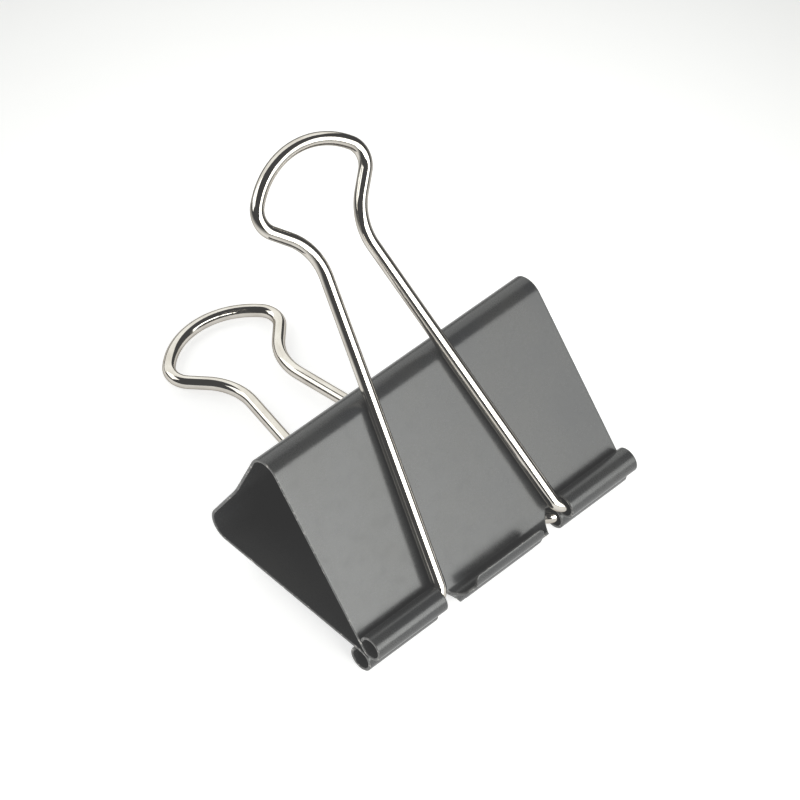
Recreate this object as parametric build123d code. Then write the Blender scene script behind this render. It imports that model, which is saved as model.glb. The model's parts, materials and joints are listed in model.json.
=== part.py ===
from build123d import *
import os
from math import acos, atan2, cos, degrees, hypot, radians, sin, tan

# A large binder clip: one folded sheet of spring steel and two wire handles.
#
# The section is drawn in a working frame: X runs along the lips, Z rises from the lips
# to the spine and the front face looks towards -Y.  At the end the clip is laid on its
# back, resting on the back lip roll and on the end of the back handle, with +Z up, +Y
# from the lips to the handle ends and the origin under the middle of the whole clip.

# ---- driving dimensions, millimetres and degrees ----
CLIP_LENGTH = 51.6          # along the lips
SPINE_WIDTH = 24.5          # outside, across the two bends
CLIP_DEPTH = 31.8           # from the bottom of the lips to the top of the bends
SHEET = 0.45                # thickness of the spring steel
BEND_RADIUS = 2.9           # outside radius of the bend between spine and panel
SPINE_SLOPE = 4.0           # fall of the spine from each bend towards the middle
SPINE_SAG_RADIUS = 12.0     # curve in the middle of the spine
LIP_RADIUS = 1.95           # outside radius of the rolled lip
LIP_GAP = 0.2               # between the closed lips
JAW_SPLIT_GAP = 0.04        # between the spine and each jaw

ROLL_START = -85.0          # angle on the roll where every stretch of the lip is curled to
TONGUE_END = -154.0         # angle on the roll of the tongue's free edge
TUBE_SEAM = 2.0             # angle left open between the end of a tube and its panel
TUBE_INNER_END = 12.5       # from the middle of the clip
TONGUE_HALF = 6.7           # half the width of the tongue
TONGUE_CORNER = 0.8         # radius of the tongue's free corners
NOTCH_FOOT = 8.0            # inner edge of the wire notch at the lip
NOTCH_HEAD = 10.7           # inner edge of the wire notch at its top
NOTCH_HEIGHT = 3.5          # above the bottom of the lips
NOTCH_CORNER = 0.7          # radius at the top of the notch

WIRE_RADIUS = 1.0
FOLDED_CLEARANCE = 0.03     # between a folded handle and the bend that it rests on
BACK_HANDLE_LIFT = 5.0      # the back handle stands this far off its folded stop
LOOP_REACH = 64.9           # from the hinge line to the wire's centre at the loop's end
LOOP_END_RADIUS = 12.2
LOOP_END_HALF = 47.0        # half the angle of the loop's end
SHOULDER_RADIUS = 3.2
WAIST_ANGLE = 43.7          # between the run into the waist and the handle's middle
WAIST_RUN = 3.0
WAIST_RADIUS = 8.7
LEG_ANGLE = 8.6             # each leg's lean outwards towards its foot
FOOT_RADIUS = 2.0
FOOT_END = 23.4             # from the middle of the clip to the end of each foot
FRONT_LEAN = -0.4           # of the front handle's loop towards +X, in the handle's own plane
BACK_LEAN = 2.9             # of the back handle's loop


def on_circle(centre, radius, angle):
    """The point on a circle at an angle, in degrees from the first axis of its plane."""
    return (centre[0] + radius * cos(radians(angle)), centre[1] + radius * sin(radians(angle)))


def mirrored(point):
    """The same point on the back half of the section."""
    return (-point[0], point[1])


# ---- the front half of the section, as (y, z) ----
half_spine = SPINE_WIDTH / 2 - BEND_RADIUS
bend_centre = (-half_spine, CLIP_DEPTH - BEND_RADIUS)
lip_centre = (-(LIP_RADIUS + LIP_GAP / 2), LIP_RADIUS)
lip_bore = LIP_RADIUS - SHEET
bend_bore = BEND_RADIUS - SHEET
reach = hypot(bend_centre[0] - lip_centre[0], bend_centre[1] - lip_centre[1])
lean = degrees(atan2(bend_centre[1] - lip_centre[1], bend_centre[0] - lip_centre[0]))

# The panel is tangent to the inside of the roll and to the outside of the bend.
panel_angle = lean - degrees(acos((lip_bore + BEND_RADIUS) / reach))
fold_offset = BEND_RADIUS + WIRE_RADIUS + FOLDED_CLEARANCE
folded_angle = lean - degrees(acos(fold_offset / reach))
bend_start = panel_angle + 180
bend_end = 90 - SPINE_SLOPE
split_angle = (bend_start + bend_end) / 2
tube_end = panel_angle + degrees(acos(lip_bore / LIP_RADIUS)) + TUBE_SEAM - 360


def arc(centre, radius, start, end):
    """An arc in the section's plane from one angle to another, either way round."""
    return CenterArc(centre, radius, start, end - start)


def ring_stretch(centre, outer, start, end, half_length, middle=0.0):
    """A curved strip of the sheet between two angles, along X about a middle."""
    inner = outer - SHEET
    outline = Wire([
        arc(centre, outer, start, end),
        Line(on_circle(centre, outer, end), on_circle(centre, inner, end)),
        arc(centre, inner, end, start),
        Line(on_circle(centre, inner, start), on_circle(centre, outer, start)),
    ])
    face = Plane.YZ.offset(middle) * make_face(outline.edges())
    return extrude(face, half_length, both=True)


def panel_strip():
    """The flat panel, with the bend up to the split and the first curl of the lip."""
    split_turn = degrees(JAW_SPLIT_GAP / 2 / BEND_RADIUS)
    split = split_angle + split_turn
    lip_outer = on_circle(lip_centre, LIP_RADIUS, panel_angle)
    lip_inner = on_circle(lip_centre, lip_bore, panel_angle)
    bend_outer = on_circle(bend_centre, BEND_RADIUS, bend_start)
    bend_inner = on_circle(bend_centre, bend_bore, bend_start)
    outline = Wire([
        Line(on_circle(lip_centre, LIP_RADIUS, ROLL_START), on_circle(lip_centre, lip_bore, ROLL_START)),
        arc(lip_centre, lip_bore, ROLL_START, panel_angle),
        Line(lip_inner, bend_outer),
        arc(bend_centre, BEND_RADIUS, bend_start, split),
        Line(on_circle(bend_centre, BEND_RADIUS, split), on_circle(bend_centre, bend_bore, split)),
        arc(bend_centre, bend_bore, split, bend_start),
        Line(bend_inner, lip_outer),
        arc(lip_centre, LIP_RADIUS, panel_angle, ROLL_START),
    ])
    return extrude(Plane.YZ * make_face(outline.edges()), CLIP_LENGTH / 2, both=True)


def notch(side):
    """The cut in the lip beside a tube, where a leg of the wire comes out."""
    below = -LIP_RADIUS
    outline = Polyline(
        (side * NOTCH_FOOT, below),
        (side * NOTCH_FOOT, SHEET),
        (side * NOTCH_HEAD, NOTCH_HEIGHT),
        (side * TUBE_INNER_END, NOTCH_HEIGHT),
        (side * TUBE_INNER_END, below),
        close=True,
    )
    face = make_face(outline.edges())
    top = face.vertices().group_by(Axis.Y)[-1]
    face = fillet(top, NOTCH_CORNER)
    return extrude(Plane.XZ * face, 2 * LIP_RADIUS + LIP_GAP, both=True)


def tongue():
    """The half-rolled tongue in the middle of the lip, with its free corners rounded."""
    strip = ring_stretch(lip_centre, LIP_RADIUS, ROLL_START, TONGUE_END, TONGUE_HALF)
    corners = strip.edges().filter_by(Axis.X, reverse=True).filter_by(GeomType.LINE)
    free = corners.sort_by(Axis.Y)[:2]
    return fillet(free, TONGUE_CORNER)


def front_half():
    """The front jaw: its panel, the tongue and the two tubes that hold the wire."""
    jaw = panel_strip()
    for side in (-1, 1):
        jaw -= notch(side)
    jaw += tongue()
    tube_half = (CLIP_LENGTH / 2 - TUBE_INNER_END) / 2
    for side in (-1, 1):
        middle = side * (TUBE_INNER_END + tube_half)
        jaw += ring_stretch(lip_centre, LIP_RADIUS, ROLL_START, tube_end, tube_half, middle)
    return jaw


def spine_strip():
    """The spine between the two splits, hollowed a little along its middle."""
    split_turn = degrees(JAW_SPLIT_GAP / 2 / BEND_RADIUS)
    split = split_angle - split_turn
    edges = []
    for radius, sag_radius in ((BEND_RADIUS, SPINE_SAG_RADIUS), (bend_bore, SPINE_SAG_RADIUS + SHEET)):
        slope_top = on_circle(bend_centre, radius, bend_end)
        run = -sag_radius * sin(radians(SPINE_SLOPE)) - slope_top[0]
        slope_foot = (slope_top[0] + run, slope_top[1] - run * tan(radians(SPINE_SLOPE)))
        drop = sag_radius * (1 - cos(radians(SPINE_SLOPE)))
        edges.append(arc(bend_centre, radius, split, bend_end))
        edges.append(Line(slope_top, slope_foot))
        edges.append(ThreePointArc(slope_foot, (0, slope_foot[1] - drop), mirrored(slope_foot)))
        edges.append(Line(mirrored(slope_foot), mirrored(slope_top)))
        edges.append(arc(mirrored(bend_centre), radius, 180 - bend_end, 180 - split))
    outer_end = on_circle(bend_centre, BEND_RADIUS, split)
    inner_end = on_circle(bend_centre, bend_bore, split)
    edges.append(Line(outer_end, inner_end))
    edges.append(Line(mirrored(outer_end), mirrored(inner_end)))
    return extrude(Plane.YZ * make_face(edges), CLIP_LENGTH / 2, both=True)


def bent_run(start, heading, steps):
    """Straight runs and arcs end to end: (length, 0) is a run, (radius, turn) an arc."""
    edges = []
    point = start
    for size, turn in steps:
        if turn == 0:
            end = on_circle(point, size, heading)
            edges.append(Line(point, end))
        else:
            side = 90 if turn > 0 else -90
            centre = on_circle(point, size, heading + side)
            middle = on_circle(centre, size, heading - side + turn / 2)
            end = on_circle(centre, size, heading - side + turn)
            edges.append(ThreePointArc(point, middle, end))
            heading += turn
        point = end
    return edges, point


def handle_side(lean):
    """One side of a handle in its own plane, from the loop's end to the tip of a foot."""
    start = on_circle((0, 0), LOOP_REACH, 90 - lean)
    loop = [
        (LOOP_END_RADIUS, -LOOP_END_HALF),
        (SHOULDER_RADIUS, -(90 + WAIST_ANGLE - LOOP_END_HALF)),
        (WAIST_RUN, 0),
        (WAIST_RADIUS, WAIST_ANGLE + LEG_ANGLE),
    ]
    waist = bent_run(start, -lean, loop)[1]
    leg_angle = LEG_ANGLE - lean
    bend_drop = FOOT_RADIUS * (1 - sin(radians(leg_angle)))
    leg = (waist[1] - bend_drop) / cos(radians(leg_angle))
    foot_start = waist[0] + leg * sin(radians(leg_angle)) + FOOT_RADIUS * cos(radians(leg_angle))
    ending = [(leg, 0), (FOOT_RADIUS, 90 - leg_angle), (FOOT_END - foot_start, 0)]
    return bent_run(start, -lean, loop + ending)[0]


def handle(hinge, direction, lean):
    """A wire handle in the plane through its hinge line, along a direction in the section.

    The loop leans a little to one side, so one leg is longer than the other."""
    across = (0, cos(radians(direction)), sin(radians(direction)))
    normal = Vector(1, 0, 0).cross(Vector(*across))
    plane = Plane(origin=(0, hinge[0], hinge[1]), x_dir=(1, 0, 0), z_dir=normal)
    right = Wire([plane * edge for edge in handle_side(lean)])
    left = Wire([plane * edge for edge in handle_side(-lean)]).mirror(Plane.YZ)
    path = Wire(right.edges() + left.edges())
    foot = Plane(origin=(FOOT_END, hinge[0], hinge[1]), z_dir=(-1, 0, 0))
    return sweep(foot * Circle(WIRE_RADIUS), path=path)


# ---- the pieces in the working frame ----
back_angle = folded_angle + BACK_HANDLE_LIFT
front_jaw = front_half()
pieces = {
    "spine": spine_strip(),
    "front_jaw": front_jaw,
    "back_jaw": mirror(front_jaw, about=Plane.XZ),
    "front_handle": handle(lip_centre, 90 + folded_angle, FRONT_LEAN),
    "back_handle": handle(mirrored(lip_centre), 90 - back_angle, BACK_LEAN),
}

# ---- laid on its back: the plane under the back roll and the back handle's loop ----
back_reach = LOOP_END_RADIUS + (LOOP_REACH - LOOP_END_RADIUS) * cos(radians(BACK_LEAN))
rest_angle = back_angle - degrees(atan2(LIP_RADIUS - WIRE_RADIUS, back_reach))
laid_down = Rot(rest_angle - 90, 0, 0)
extent = Compound(children=[laid_down * piece for piece in pieces.values()]).bounding_box()
to_origin = Pos(-(extent.min.X + extent.max.X) / 2, -(extent.min.Y + extent.max.Y) / 2, -extent.min.Z)
row_placing = to_origin * laid_down

os.makedirs("parts", exist_ok=True)
for name, piece in pieces.items():
    export_step(row_placing * piece, f"parts/{name}.step")
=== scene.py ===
import json
from collections import namedtuple
from math import acos, atan2, ceil, copysign, cos, degrees, pi, radians, sin

import bmesh
import bpy
import numpy as np
from mathutils import Matrix, Vector
from mathutils.geometry import delaunay_2d_cdt


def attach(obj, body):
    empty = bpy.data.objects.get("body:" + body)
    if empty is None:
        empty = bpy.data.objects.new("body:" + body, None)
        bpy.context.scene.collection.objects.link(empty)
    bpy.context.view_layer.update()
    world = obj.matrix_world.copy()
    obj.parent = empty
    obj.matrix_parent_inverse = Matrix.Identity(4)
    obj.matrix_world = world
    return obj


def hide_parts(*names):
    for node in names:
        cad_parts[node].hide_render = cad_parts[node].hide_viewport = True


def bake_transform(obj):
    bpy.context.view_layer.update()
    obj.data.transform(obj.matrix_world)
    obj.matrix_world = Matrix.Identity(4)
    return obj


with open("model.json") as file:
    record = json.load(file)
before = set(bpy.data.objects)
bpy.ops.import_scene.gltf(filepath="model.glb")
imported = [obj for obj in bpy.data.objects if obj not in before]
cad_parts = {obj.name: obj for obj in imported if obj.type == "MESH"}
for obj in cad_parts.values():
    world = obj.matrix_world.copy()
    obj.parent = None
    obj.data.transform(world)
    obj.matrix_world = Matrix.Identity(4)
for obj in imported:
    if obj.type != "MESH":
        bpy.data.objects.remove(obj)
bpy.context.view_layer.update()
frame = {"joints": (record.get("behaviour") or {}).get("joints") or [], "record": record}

# ---- the clip's own sizes, in millimetres and degrees ----
MM = 0.001
CLIP_LENGTH = 51.6          # along the lips
SPINE_WIDTH = 24.5          # outside, across the two bends
CLIP_DEPTH = 31.8           # from the bottom of the lips to the top of the bends
SHEET = 0.45
BEND_RADIUS = 2.9           # outside radius of the bend between spine and panel
SPINE_SLOPE = 4.0
SPINE_SAG_RADIUS = 12.0
LIP_RADIUS = 1.95
LIP_GAP = 0.2
ROLL_START = -85.0          # angle on the roll where every stretch of the lip is curled to
TONGUE_END = -154.0
TUBE_SEAM = 2.0
TUBE_INNER_END = 12.5
TUBE_CORNER = 0.3
TONGUE_HALF = 6.7
TONGUE_CORNER = 0.8
TONGUE_ROOT = 0.4
NOTCH_FOOT = 8.0
NOTCH_FOOT_CORNER = 0.25
NOTCH_HEAD = 10.7
NOTCH_HEIGHT = 3.5
NOTCH_CORNER = 0.6
SHEET_EDGE_RADIUS = 0.1     # of the coated edge all round the sheet
EDGE_BAND = 0.25            # flat strip kept beside that edge

WIRE_RADIUS = 1.0
LOOP_REACH = 64.9           # from the hinge line to the wire's centre at the loop's end
LOOP_END_RADIUS = 12.2
LOOP_END_HALF = 47.0
SHOULDER_RADIUS = 3.2
WAIST_ANGLE = 43.7
WAIST_RUN = 3.0
WAIST_RADIUS = 8.7
LEG_ANGLE = 8.6
FOOT_RADIUS = 2.0
FOOT_END = 23.4
FOOT_CHAMFER = 0.2

# ---- how finely the meshes are cut ----
SHEET_ARC_STEP = 6.0
SHEET_RUN_STEP = 1.5
COLUMN_STEP = 1.5
CORNER_ANGLE_STEP = 12.0
EDGE_STEPS = 3
GRID_CLEARANCE = 0.12
WIRE_SIDES = 32
WIRE_ARC_STEP = 4.0
WIRE_RUN_STEP = 1.5
SHARP_ANGLE = 50.0
SAME_POINT = 1e-6           # metres
NEARLY_STRAIGHT = 1e-3      # sine of the turn below which an outline counts as straight
INSIDE_ONLY = 1             # what delaunay_2d_cdt keeps: the triangles inside the ring

# ---- colours ----
ENAMEL = (0.020, 0.021, 0.023, 1)
ENAMEL_CLOUD = (0.028, 0.028, 0.027, 1)
# lighter grey along the sheet's edges: partly a painted edge highlight, partly wear of the enamel
EDGE_HIGHLIGHT_AND_WEAR_GREY = (0.11, 0.108, 0.105, 1)
BARE_STEEL = (0.42, 0.40, 0.38, 1)
NICKEL = (0.63, 0.60, 0.555, 1)
NICKEL_CLOUD = (0.50, 0.465, 0.42, 1)
NICKEL_PIT = (0.3, 0.27, 0.23, 1)
NICKEL_EDGE_TINT = (0.35, 0.33, 0.3, 1)     # darkens the plating where it is seen edge-on
# painted pool of light on the floor: the floor's colour runs from the first, in the middle, to the second,
# further out
FLOOR_PAINTED_POOL_MIDDLE = (0.6, 0.6, 0.595, 1)
FLOOR_PAINTED_POOL_OUTSIDE = (0.22, 0.22, 0.218, 1)
STUDIO = (0.04, 0.04, 0.04, 1)
LIGHT_COLOUR = (0.985, 1.0, 0.97)

# ---- the camera, the floor and the lights, in metres and degrees ----
VIEW_AZIMUTH = -44.521
VIEW_ELEVATION = 45.846
VIEW_ROLL = -0.062
VIEW_DISTANCE = 0.60861
VIEW_LENS = 195.53          # millimetres, on a 36 mm sensor
AIM = (-0.000862, -0.013370, 0.022596)
FLOOR_HALF = 3.0
FLOOR_ROUGHNESS = 0.9
PAINTED_POOL_RADIUS = 0.16          # of the painted pool of light in the middle of the floor
# how strongly the floor glows in the painted pool of light, though it is no lamp
PAINTED_POOL_GLOW = 0.7
BLACK_LIFT = 0.036          # how bright the darkest tones come out, as a share of white
SOFTBOXES = (               # name, azimuth, elevation, distance, width, height, radiance
    ("key", 4.0, 21.0, 1.0, 0.9, 0.7, 5.3),
    ("key_wide", 11.0, 21.0, 1.05, 1.15, 0.75, 2.9),
    ("back", 160.0, 35.0, 1.2, 2.6, 1.2, 1.4),
    ("side", -135.0, 38.0, 1.2, 0.8, 0.8, 2.3),
)


# ---- the clip's section, placed by the frame's own joints ----
pivots = {joint["name"]: Vector(joint["pos_m"]) for joint in frame["joints"]}
mounts = {mount["name"]: Vector(mount["pos_m"]) for mount in frame["record"]["mounts"]}
front_hinge = pivots["front_handle_pivot"]
back_hinge = pivots["back_handle_pivot"]
between_hinges = (front_hinge + back_hinge) / 2
between_bends = (pivots["front_jaw_flex"] + pivots["back_jaw_flex"]) / 2
ALONG = Vector((1, 0, 0))
ACROSS = (back_hinge - front_hinge).normalized()
RISE = (between_bends - between_hinges).normalized()
SECTION_ORIGIN = between_hinges - MM * LIP_RADIUS * RISE


def placed(x, y, z):
    """The point that lies x along the lips, y from front to back and z up from the lips, in mm."""
    return SECTION_ORIGIN + MM * (x * ALONG + y * ACROSS + z * RISE)


def towards(angle):
    """The unit vector at an angle in a plane."""
    return Vector((cos(radians(angle)), sin(radians(angle))))


# ---- paths made of straight runs and arcs ----
Stretch = namedtuple("Stretch", "start heading size turn length")


def along(stretch, distance):
    """The point and the heading that far along one run or arc."""
    start, heading, size, turn, length = stretch
    if not turn:
        return start + distance * towards(heading), heading
    swing = turn * distance / length
    outwards = heading - copysign(90, turn)
    return start + size * (towards(outwards + swing) - towards(outwards)), heading + swing


def path_of(start, heading, steps):
    """Runs, (length, 0), and arcs, (radius, turn), laid end to end."""
    stretches = []
    point = Vector(start)
    for size, turn in steps:
        length = size * radians(abs(turn)) if turn else size
        stretches.append(Stretch(point, heading, size, turn, length))
        point, heading = along(stretches[-1], length)
    return stretches


def on_path(stretches, distance):
    """The point and the heading that far along a whole path."""
    for stretch in stretches[:-1]:
        if distance <= stretch.length:
            return along(stretch, distance)
        distance -= stretch.length
    return along(stretches[-1], distance)


def stations(stretches, arc_step, run_step):
    """Distances along a path, close together on its arcs and wide apart on its runs."""
    found = [0.0]
    for stretch in stretches:
        steps = abs(stretch.turn) / arc_step if stretch.turn else stretch.length / run_step
        count = ceil(steps)
        begun = found[-1]
        found += [begun + stretch.length * (k + 1) / count for k in range(count)]
    return found


def length_of(stretches):
    return sum(stretch.length for stretch in stretches)


# ---- the middle of the sheet, from the middle of the spine to the end of a front tube ----
lip_bore = LIP_RADIUS - SHEET
bend_centre = Vector((BEND_RADIUS - SPINE_WIDTH / 2, CLIP_DEPTH - BEND_RADIUS))
lip_centre = Vector((-(LIP_RADIUS + LIP_GAP / 2), LIP_RADIUS))
between = bend_centre - lip_centre
lean = degrees(atan2(between.y, between.x))
panel_angle = lean - degrees(acos((lip_bore + BEND_RADIUS) / between.length))
tube_end = panel_angle + degrees(acos(lip_bore / LIP_RADIUS)) + TUBE_SEAM - 360

bend_middle_radius = BEND_RADIUS - SHEET / 2
lip_middle_radius = LIP_RADIUS - SHEET / 2
sag_radius = SPINE_SAG_RADIUS + SHEET / 2
bend_top = bend_centre + bend_middle_radius * towards(90 - SPINE_SLOPE)
slope = Vector((cos(radians(SPINE_SLOPE)), sin(radians(SPINE_SLOPE))))
slope_run = -(bend_top.x + sag_radius * slope.y) / slope.x
panel_run = (between.length ** 2 - (lip_bore + BEND_RADIUS) ** 2) ** 0.5
spine_low = bend_top.y - slope_run * slope.y - sag_radius * (1 - slope.x)

section = path_of((0, spine_low), 180, [
    (sag_radius, -SPINE_SLOPE),
    (slope_run, 0),
    (bend_middle_radius, 90 + SPINE_SLOPE + panel_angle),
    (panel_run, 0),
    (lip_middle_radius, tube_end - panel_angle),
])
bend_from = length_of(section[:2])
bend_to = length_of(section[:3])
panel_to = length_of(section[:4])
section_length = length_of(section)


def down_roll(angle):
    """How far along the section the roll has turned to an angle."""
    return panel_to + lip_middle_radius * radians(panel_angle - angle)


# ---- the sheet's blank, as (x, distance along the section) ----
def blank_corners():
    """Corners of the flat blank of one half, anticlockwise, each with its radius."""
    notch_top = panel_to - (NOTCH_HEIGHT - on_path(section, panel_to)[0].y) / cos(radians(panel_angle))
    right = [
        (CLIP_LENGTH / 2, 0, 0),
        (CLIP_LENGTH / 2, section_length, TUBE_CORNER),
        (TUBE_INNER_END, section_length, TUBE_CORNER),
        (TUBE_INNER_END, notch_top, NOTCH_CORNER),
        (NOTCH_HEAD, notch_top, NOTCH_CORNER),
        (NOTCH_FOOT, down_roll(ROLL_START), NOTCH_FOOT_CORNER),
        (TONGUE_HALF, down_roll(ROLL_START), TONGUE_ROOT),
        (TONGUE_HALF, down_roll(TONGUE_END), TONGUE_CORNER),
    ]
    return right + [(-x, u, radius) for x, u, radius in reversed(right)]


def rounded(corners):
    """The outline through some corners, each cut by an arc of its own radius."""
    outline = []
    for k, (x, u, radius) in enumerate(corners):
        corner = Vector((x, u))
        before = (Vector(corners[k - 1][:2]) - corner).normalized()
        after = (Vector(corners[(k + 1) % len(corners)][:2]) - corner).normalized()
        if not radius:
            outline.append(corner)
            continue
        half = before.angle(after) / 2
        centre = corner + (before + after).normalized() * radius / sin(half)
        start = corner + before * radius * cos(half) / sin(half) - centre
        turn = before.angle_signed(-after)
        count = ceil(degrees(abs(turn)) / CORNER_ANGLE_STEP)
        outline += [centre + Matrix.Rotation(-turn * step / count, 2) @ start for step in range(count + 1)]
    return outline


def cut_at(outline, rows, columns):
    """The same outline with more points, wherever it crosses a row or a column."""
    cut = []
    for start, end in zip(outline, outline[1:] + outline[:1]):
        side = end - start
        shares = {0.0}
        for axis, lines in ((0, columns), (1, rows)):
            if abs(side[axis]) > GRID_CLEARANCE:
                shares |= {(line - start[axis]) / side[axis] for line in lines}
        margin = GRID_CLEARANCE / 4 / side.length
        kept = [share for share in sorted(shares) if share == 0 or margin < share < 1 - margin]
        cut += [start + share * side for share in kept]
    return cut


def inset(outline, depth):
    """The outline moved inwards, apart from its side along the middle of the spine."""
    moved = []
    for before, point, after in zip(outline[-1:] + outline[:-1], outline, outline[1:] + outline[:1]):
        rows = []
        for start, end in ((before, point), (point, after)):
            side = (end - start).normalized()
            on_seam = start.y == 0 and end.y == 0
            rows.append((-side.y, side.x, 0 if on_seam else depth))
        (a, b, first), (c, d, second) = rows
        across = a * d - b * c
        if abs(across) < NEARLY_STRAIGHT:
            moved.append(point + Vector((a, b)) * first)
        else:
            shift = Vector((first * d - b * second, a * second - c * first))
            moved.append(point + shift / across)
    return moved


def spaced_from(points, ring, gap):
    """The points at least a gap away from every side of a ring."""
    start = np.array(ring)
    side = np.roll(start, -1, axis=0) - start
    offset = points[:, None] - start
    share = np.clip((offset * side).sum(2) / (side ** 2).sum(1), 0, 1)
    distance = np.linalg.norm(offset - share[..., None] * side, axis=2)
    return points[distance.min(axis=1) > gap]


def linked(name, points, faces, marks):
    """A piece with a closed mesh and its marks, one value or vector for each point."""
    mesh = bpy.data.meshes.new(name)
    mesh.from_pydata(points, [], faces)
    for mark, values in marks.items():
        vector = hasattr(values[0], "__len__")
        attribute = mesh.attributes.new(mark, "FLOAT_VECTOR" if vector else "FLOAT", "POINT")
        attribute.data.foreach_set("vector" if vector else "value", np.array(values, np.float32).ravel())
    shape = bmesh.new()
    shape.from_mesh(mesh)
    bmesh.ops.remove_doubles(shape, verts=shape.verts, dist=SAME_POINT)
    bmesh.ops.recalc_face_normals(shape, faces=shape.faces)
    shape.to_mesh(mesh)
    shape.free()
    mesh.shade_smooth()
    mesh.set_sharp_from_angle(angle=radians(SHARP_ANGLE))
    piece = bpy.data.objects.new(name, mesh)
    bpy.context.scene.collection.objects.link(piece)
    return piece


def band(lower, upper, count):
    """Faces between two rings of points, each given by the number of its first point."""
    around = [(k, (k + 1) % count) for k in range(count)]
    return [(lower + k, lower + after, upper + after, upper + k) for k, after in around]


# ---- the body sheet ----
def edge_profile():
    """The sheet's rounded edge, from top to bottom: depth inside the outline, height and the edge mark,
    which places the wear and the painted edge highlight.
    """
    profile = [(EDGE_BAND, SHEET / 2, 0.0)]
    for step in range(EDGE_STEPS + 1):
        angle = radians(90 * step / EDGE_STEPS)
        depth = SHEET_EDGE_RADIUS * (1 - sin(angle))
        height = SHEET / 2 - SHEET_EDGE_RADIUS * (1 - cos(angle))
        profile.append((depth, height, 1.0 if step else 0.5))
    return profile + [(depth, -height, rim) for depth, height, rim in reversed(profile)]


def sheet_half(name, side):
    """One half of the sheet, front at side 1 and back at -1, closed along the middle of the spine."""
    rows = stations(section, SHEET_ARC_STEP, SHEET_RUN_STEP)
    column_count = round(CLIP_LENGTH / COLUMN_STEP)
    columns = [CLIP_LENGTH * (k / column_count - 0.5) for k in range(column_count + 1)]
    outline = cut_at(rounded(blank_corners()), rows, columns)
    profile = edge_profile()
    flat, faces = [], []
    for depth, height, rim in profile:
        for point in inset(outline, depth):
            flat.append((point.x, point.y, height, rim if point.y > GRID_CLEARANCE else 0.0))
    for ring in range(len(profile) - 1):
        faces += band(ring * len(outline), (ring + 1) * len(outline), len(outline))

    ring = inset(outline, EDGE_BAND)
    grid = np.array([(x, u) for u in rows for x in columns])
    inner = [Vector(point) for point in spaced_from(grid, ring, GRID_CLEARANCE)]
    border = [list(range(len(ring)))]
    cut, _, triangles, *_ = delaunay_2d_cdt(ring + inner, [], border, INSIDE_ONLY, SAME_POINT)
    for height, order in ((SHEET / 2, 1), (-SHEET / 2, -1)):
        first = len(flat)
        flat += [(point.x, point.y, height, 0.0) for point in cut]
        faces += [tuple(first + corner for corner in triangle[::order]) for triangle in triangles]

    points = []
    for x, u, height, _ in flat:
        middle, heading = on_path(section, u)
        point = middle + height * towards(heading - 90)
        points.append(placed(x, side * point.x, point.y))
    marks = {"blank": [(x, side * u, height) for x, u, height, _ in flat], "rim": [rim for *_, rim in flat]}
    piece = linked(name, points, faces, marks)
    spine_side = on_path(section, bend_from)[0]
    jaw_side = on_path(section, bend_to)[0]
    return piece, placed(0, side * spine_side.x, spine_side.y), placed(0, side * jaw_side.x, jaw_side.y)


# ---- the wire handles ----
def handle_side(lean):
    """The right side of a handle in its own plane, from the middle of the loop's end to a foot.

    The loop leans towards +X by an angle, and the foot still lies on the hinge line.
    """
    loop = [
        (LOOP_END_RADIUS, -LOOP_END_HALF),
        (SHOULDER_RADIUS, -(90 + WAIST_ANGLE - LOOP_END_HALF)),
        (WAIST_RUN, 0),
        (WAIST_RADIUS, WAIST_ANGLE + LEG_ANGLE),
    ]
    start = LOOP_REACH * towards(90 - lean)
    leg_angle = LEG_ANGLE - lean
    waist = path_of(start, -lean, loop)[-1]
    leg_top = along(waist, waist.length)[0]
    leg = (leg_top.y - FOOT_RADIUS * (1 - sin(radians(leg_angle)))) / cos(radians(leg_angle))
    foot_start = leg_top.x + leg * sin(radians(leg_angle)) + FOOT_RADIUS * cos(radians(leg_angle))
    ending = [(leg, 0), (FOOT_RADIUS, 90 - leg_angle), (FOOT_END - foot_start, 0)]
    return path_of(start, -lean, loop + ending)


def wire(name, hinge, loop):
    """A wire handle, in the plane through its hinge line and the inside of its loop's end."""
    reach = Vector((0, loop.y - hinge.y, loop.z - hinge.z))
    lean = degrees(atan2(loop.x - hinge.x, reach.length))
    direction = reach.normalized()
    normal = ALONG.cross(direction)
    points, lay = [], []
    for side in (1, -1):
        path = handle_side(side * lean)
        end = length_of(path)
        marks = stations(path, WIRE_ARC_STEP, WIRE_RUN_STEP)[:-1] + [end - FOOT_CHAMFER, end]
        for distance in marks[::-1] if side == 1 else marks[1:]:
            at, heading = on_path(path, distance)
            across = towards(heading + 90)
            middle = side * at.x * ALONG + at.y * direction
            out = side * across.x * ALONG + across.y * direction
            radius = WIRE_RADIUS - FOOT_CHAMFER * (distance == end)
            for k in range(WIRE_SIDES):
                turn = 360 * k / WIRE_SIDES
                spoke = towards(turn)
                points.append(hinge + MM * (middle + radius * (spoke.x * out + spoke.y * normal)))
                lay.append((side * distance, *(WIRE_RADIUS * spoke)))
    faces = [tuple(range(WIRE_SIDES)), tuple(range(len(points) - WIRE_SIDES, len(points)))]
    for first in range(0, len(points) - WIRE_SIDES, WIRE_SIDES):
        faces += band(first, first + WIRE_SIDES, WIRE_SIDES)
    return linked(name, points, faces, {"lay": lay})


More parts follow.
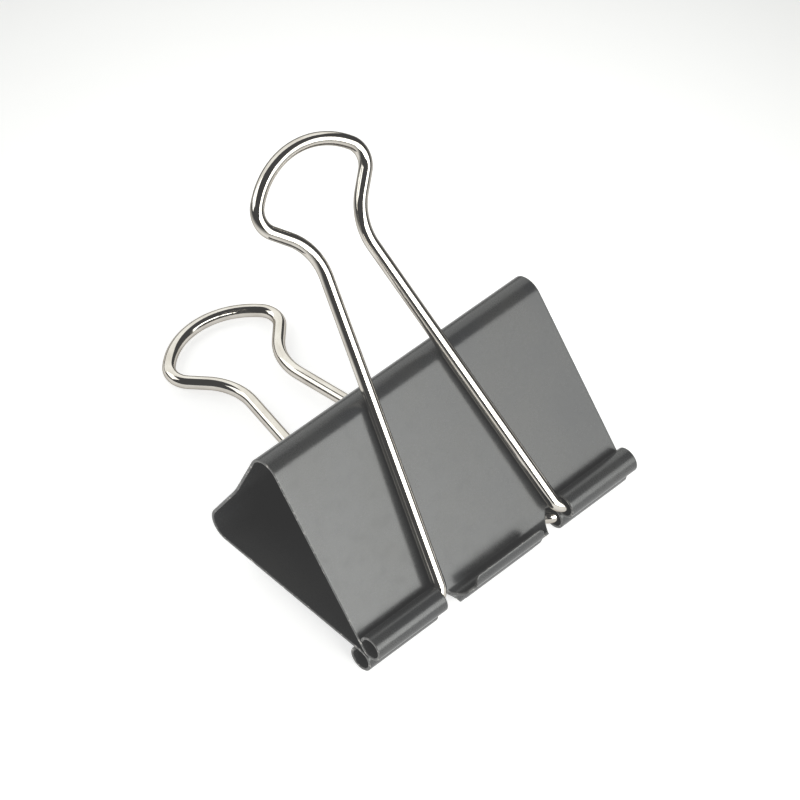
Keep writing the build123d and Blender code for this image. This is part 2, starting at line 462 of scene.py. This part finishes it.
# ---- materials, with noise scales in cycles for each millimetre ----
class Shading:
    """A new material with one Principled shader, and short ways to add nodes in front of it."""

    def __init__(self, name):
        self.material = bpy.data.materials.new(name)
        self.material.use_nodes = True
        self.tree = self.material.node_tree
        self.shader = self.tree.nodes["Principled BSDF"]

    def node(self, kind, **settings):
        made = self.tree.nodes.new(kind)
        for key, value in settings.items():
            setattr(made, key, value)
        return made

    def feed(self, socket, value):
        """Link an output to a socket, or set a plain value on it."""
        if isinstance(value, bpy.types.NodeSocket):
            self.tree.links.new(value, socket)
        else:
            socket.default_value = value

    def math(self, operation, *values):
        made = self.node("ShaderNodeMath", operation=operation)
        for socket, value in zip(made.inputs, values):
            self.feed(socket, value)
        return made.outputs[0]

    def mark(self, name, output):
        return self.node("ShaderNodeAttribute", attribute_name=name).outputs[output]

    def noise(self, where, scale, detail, lengthwise=1.0):
        """Noise from 0 to 1 over some coordinates, drawn out along the first of them."""
        stretched = self.node("ShaderNodeVectorMath", operation="MULTIPLY")
        self.feed(stretched.inputs[0], where)
        self.feed(stretched.inputs[1], (scale * lengthwise, scale, scale))
        made = self.node("ShaderNodeTexNoise")
        made.inputs["Scale"].default_value = 1.0
        made.inputs["Detail"].default_value = detail
        self.feed(made.inputs["Vector"], stretched.outputs[0])
        return made.outputs[0]

    def ramped(self, value, low, high, to_low=0.0, to_high=1.0):
        """A value carried from one range to another, and held within it."""
        made = self.node("ShaderNodeMapRange")
        for socket, number in zip(made.inputs, (value, low, high, to_low, to_high)):
            self.feed(socket, number)
        return made.outputs[0]

    def mixed(self, share, first, second):
        """A colour between two, by a share from 0 to 1."""
        made = self.node("ShaderNodeMix", data_type="RGBA")
        for socket, value in zip((made.inputs[0], made.inputs[6], made.inputs[7]), (share, first, second)):
            self.feed(socket, value)
        return made.outputs[2]

    def raised(self, height, depth, below=None):
        """A bump whose height of 1 is some metres high, on top of another bump."""
        made = self.node("ShaderNodeBump")
        made.inputs["Distance"].default_value = depth
        self.feed(made.inputs["Height"], height)
        if below:
            self.feed(made.inputs["Normal"], below)
        return made.outputs[0]

    def use(self, **sockets):
        for name, value in sockets.items():
            self.feed(self.shader.inputs[name.replace("_", " ")], value)
        return self.material


def black_coating():
    """Satin black enamel, with orange peel, faint clouding, a lighter band along the edges that is partly a
    painted highlight and partly wear, and bare chips.
    """
    coat = Shading("black_coating")
    where = coat.mark("blank", "Vector")
    rim = coat.mark("rim", "Fac")
    cloud = coat.noise(where, 0.11, 4.0)
    peel = coat.noise(where, 1.1, 1.0)
    grain = coat.noise(where, 7.0, 2.0)
    swell = coat.noise(where, 0.07, 1.0)
    chips = coat.noise(where, 1.6, 4.0)
    scuffs = coat.noise(where, 0.5, 4.0)

    # lighter band all along the edges: partly painted edge highlight, partly wear; it is also rougher there
    edge_highlight_and_wear = coat.math("MULTIPLY", coat.ramped(rim, 0.35, 0.9), coat.ramped(chips, 0.3, 0.7, 0.25, 1.0))
    bare = coat.math("MULTIPLY", coat.ramped(rim, 0.6, 1.0), coat.ramped(chips, 0.58, 0.66))
    colour = coat.mixed(coat.ramped(cloud, 0.3, 0.7), ENAMEL, ENAMEL_CLOUD)
    colour = coat.mixed(edge_highlight_and_wear, colour, EDGE_HIGHLIGHT_AND_WEAR_GREY)
    colour = coat.mixed(bare, colour, BARE_STEEL)
    rough = coat.ramped(coat.math("ADD", cloud, grain), 0.7, 1.3, 0.225, 0.305)
    rough = coat.math("ADD", rough, coat.ramped(scuffs, 0.5, 0.7, 0.0, 0.045))
    rough = coat.math("ADD", rough, coat.math("MULTIPLY", edge_highlight_and_wear, 0.06))
    bump = coat.raised(swell, 30e-6)
    bump = coat.raised(peel, 3e-6, bump)
    bump = coat.raised(grain, 0.4e-6, bump)
    return coat.use(Base_Color=colour, Roughness=rough, Metallic=bare, Normal=bump)


def nickel_plating():
    """Bright nickel over drawn wire, with faint draw lines, clouding and small pits."""
    plate = Shading("nickel_plating")
    where = plate.mark("lay", "Vector")
    drawn = plate.noise(where, 5.0, 3.0, lengthwise=0.012)
    cloud = plate.noise(where, 0.8, 3.0, lengthwise=0.375)
    pits = plate.noise(where, 3.5, 1.0)
    rubbed = plate.noise(where, 2.5, 4.0, lengthwise=0.36)

    colour = plate.mixed(plate.ramped(cloud, 0.35, 0.7), NICKEL, NICKEL_CLOUD)
    colour = plate.mixed(plate.ramped(pits, 0.72, 0.78, 0.0, 0.5), colour, NICKEL_PIT)
    rough = plate.ramped(drawn, 0.35, 0.75, 0.05, 0.10)
    rough = plate.math("ADD", rough, plate.ramped(rubbed, 0.6, 0.75, 0.0, 0.08))
    bump = plate.raised(drawn, 1.2e-6)
    bump = plate.raised(cloud, 4e-6, bump)
    plate.shader.inputs["Specular Tint"].default_value = NICKEL_EDGE_TINT
    return plate.use(Base_Color=colour, Roughness=rough, Metallic=1.0, Normal=bump)


# ---- the pieces ----
coating = black_coating()
plating = nickel_plating()
for name, side, jaw in (("front_sheet", 1, "front_jaw"), ("back_sheet", -1, "back_jaw")):
    piece, spine_side, jaw_side = sheet_half(name, side)
    piece.data.materials.append(coating)
    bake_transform(piece)
    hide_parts("spine", jaw)

for name, hinge, loop in (
    ("front_wire", front_hinge, mounts["front_loop_hang"]),
    ("back_wire", back_hinge, mounts["back_loop_hang"]),
):
    piece = wire(name, hinge, loop)
    piece.data.materials.append(plating)
    body = name.replace("wire", "handle")
    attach(piece, body)
    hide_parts(body)


# ---- floor, lights and camera ----
def floor():
    """The pale floor that the clip lies on, with a painted pool of light: a lighter colour and a glow in
    the middle.
    """
    shape = bmesh.new()
    bmesh.ops.create_grid(shape, x_segments=1, y_segments=1, size=FLOOR_HALF)
    mesh = bpy.data.meshes.new("floor")
    shape.to_mesh(mesh)
    shape.free()
    paint = Shading("floor_with_painted_pool_of_light")
    distance = paint.node("ShaderNodeVectorMath", operation="LENGTH")
    paint.feed(distance.inputs[0], paint.node("ShaderNodeNewGeometry").outputs["Position"])
    reach = paint.math("DIVIDE", distance.outputs["Value"], PAINTED_POOL_RADIUS)
    painted_pool = paint.math("EXPONENT", paint.math("MULTIPLY", paint.math("POWER", reach, 2.0), -1.0))
    # painted pool of light: the floor's colour is lighter in the middle
    colour = paint.mixed(painted_pool, FLOOR_PAINTED_POOL_OUTSIDE, FLOOR_PAINTED_POOL_MIDDLE)
    # painted light: the floor glows in the middle, though it is no lamp
    painted_glow = paint.math("MULTIPLY", painted_pool, PAINTED_POOL_GLOW)
    white = (1, 1, 1, 1)
    paint.use(Base_Color=colour, Roughness=FLOOR_ROUGHNESS, Emission_Color=white, Emission_Strength=painted_glow)
    mesh.materials.append(paint.material)
    plane = bpy.data.objects.new("floor", mesh)
    bpy.context.scene.collection.objects.link(plane)


def from_angles(azimuth, elevation):
    """The direction that an azimuth, from -Y towards +X, and an elevation point to."""
    flat = cos(radians(elevation))
    return Vector((sin(radians(azimuth)) * flat, -cos(radians(azimuth)) * flat, sin(radians(elevation))))


def softbox(name, azimuth, elevation, distance, width, height, radiance):
    """A rectangular light that faces the clip."""
    light = bpy.data.lights.new(name, "AREA")
    light.shape = "RECTANGLE"
    light.size = width
    light.size_y = height
    light.energy = radiance * width * height * pi
    light.color = LIGHT_COLOUR
    holder = bpy.data.objects.new(name, light)
    bpy.context.scene.collection.objects.link(holder)
    outwards = from_angles(azimuth, elevation)
    holder.location = Vector(AIM) + distance * outwards
    holder.rotation_euler = outwards.to_track_quat("Z", "Y").to_euler()


def camera():
    """The camera at the photograph's viewing angle."""
    lens = bpy.data.cameras.new("camera")
    lens.lens = VIEW_LENS
    holder = bpy.data.objects.new("camera", lens)
    bpy.context.scene.collection.objects.link(holder)
    outwards = from_angles(VIEW_AZIMUTH, VIEW_ELEVATION)
    holder.location = Vector(AIM) + VIEW_DISTANCE * outwards
    level = outwards.to_track_quat("Z", "Y").to_matrix()
    holder.rotation_euler = (level @ Matrix.Rotation(radians(-VIEW_ROLL), 3, "Z")).to_euler()
    bpy.context.scene.camera = holder


def studio():
    """The dim room around the lights, and how the picture's tones are shown."""
    world = bpy.data.worlds.new("studio")
    world.use_nodes = True
    world.node_tree.nodes["Background"].inputs["Color"].default_value = STUDIO
    bpy.context.scene.world = world
    tones = bpy.context.scene.view_settings
    tones.view_transform = "Standard"
    tones.use_curve_mapping = True
    tones.curve_mapping.black_level = (-BLACK_LIFT, -BLACK_LIFT, -BLACK_LIFT)
    tones.curve_mapping.update()


floor()
for box in SOFTBOXES:
    softbox(*box)
studio()
camera()
